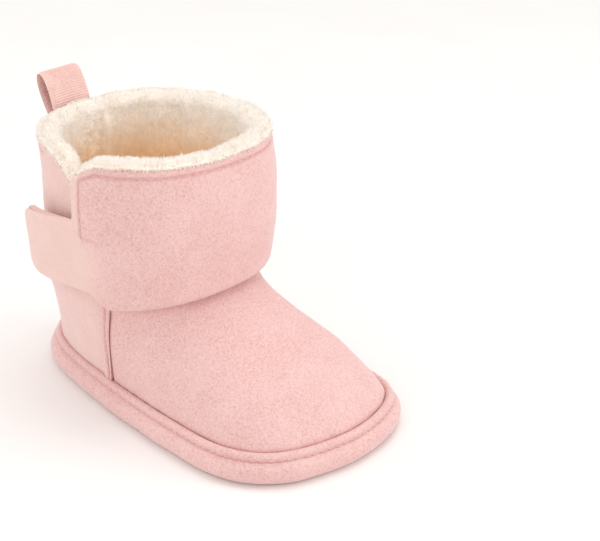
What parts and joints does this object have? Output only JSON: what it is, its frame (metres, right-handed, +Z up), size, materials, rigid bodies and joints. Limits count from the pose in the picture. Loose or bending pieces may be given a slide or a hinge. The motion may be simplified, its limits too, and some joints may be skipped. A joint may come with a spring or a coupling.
{
  "type": "baby bootie",
  "caption": "Soft-soled suede baby bootie for the right foot with plush lining, padded cuff, hook-and-loop tab and webbing pull loop",
  "frame": {"origin": "middle of the sole's outline, on the surface that the bootie stands on", "axes": "+X to the toe, +Y to the inner side of the foot, +Z up; the closure is on -Y"},
  "size_m": [0.126, 0.0732, 0.0921],
  "materials": {
    "suede": "brushed faux suede with a short nap, pink",
    "plush": "deep cream plush pile",
    "foam": "soft padding foam",
    "grip_sole": "woven sole cloth with raised grip dots",
    "hook_tape": "hook tape",
    "loop_tape": "loop tape, soft pile",
    "webbing": "ribbed grosgrain webbing",
    "thread": "sewing thread"
  },
  "bodies": {
    "shoe": {"outsole": "grip_sole", "midsole_foam": "foam", "sole_rim": "suede", "welt": "suede", "insole": "plush", "vamp": "suede", "vamp_lining": "plush", "heel_quarter": "suede", "heel_lining": "plush", "collar_lining_rear": "plush", "cuff": "suede", "collar_lining_front": "plush", "loop_patch": "loop_tape", "collar_thread": "thread", "quarter_thread": "thread", "lateral_seam_thread": "thread", "medial_seam_thread": "thread", "welt_thread": "thread"},
    "flap": {"cuff_flap": "suede", "flap_lining": "plush", "flap_thread": "thread"},
    "tab": {"closure_tab": "suede", "tab_facing": "suede", "hook_patch": "hook_tape"},
    "pull_loop": {"pull_loop": "webbing"}
  },
  "joints": [
    {"name": "flap_hinge", "type": "hinge", "parent": "shoe", "child": "flap", "pos_m": [-0.00291, -0.03526, 0.052], "axis": [0, 0, 1], "range_deg": [0, 100]},
    {"name": "tab_peel", "type": "hinge", "parent": "flap", "child": "tab", "pos_m": [-0.01289, -0.0376, 0.052], "axis": [0, 0, 1], "range_deg": [0, 90]},
    {"name": "pull_loop_hinge", "type": "hinge", "parent": "shoe", "child": "pull_loop", "pos_m": [-0.05265, -0.00455, 0.076], "axis": [0.0698, -0.9976, 0], "range_deg": [-8, 65], "stiffness_Nm_per_rad": 0.002}
  ]
}
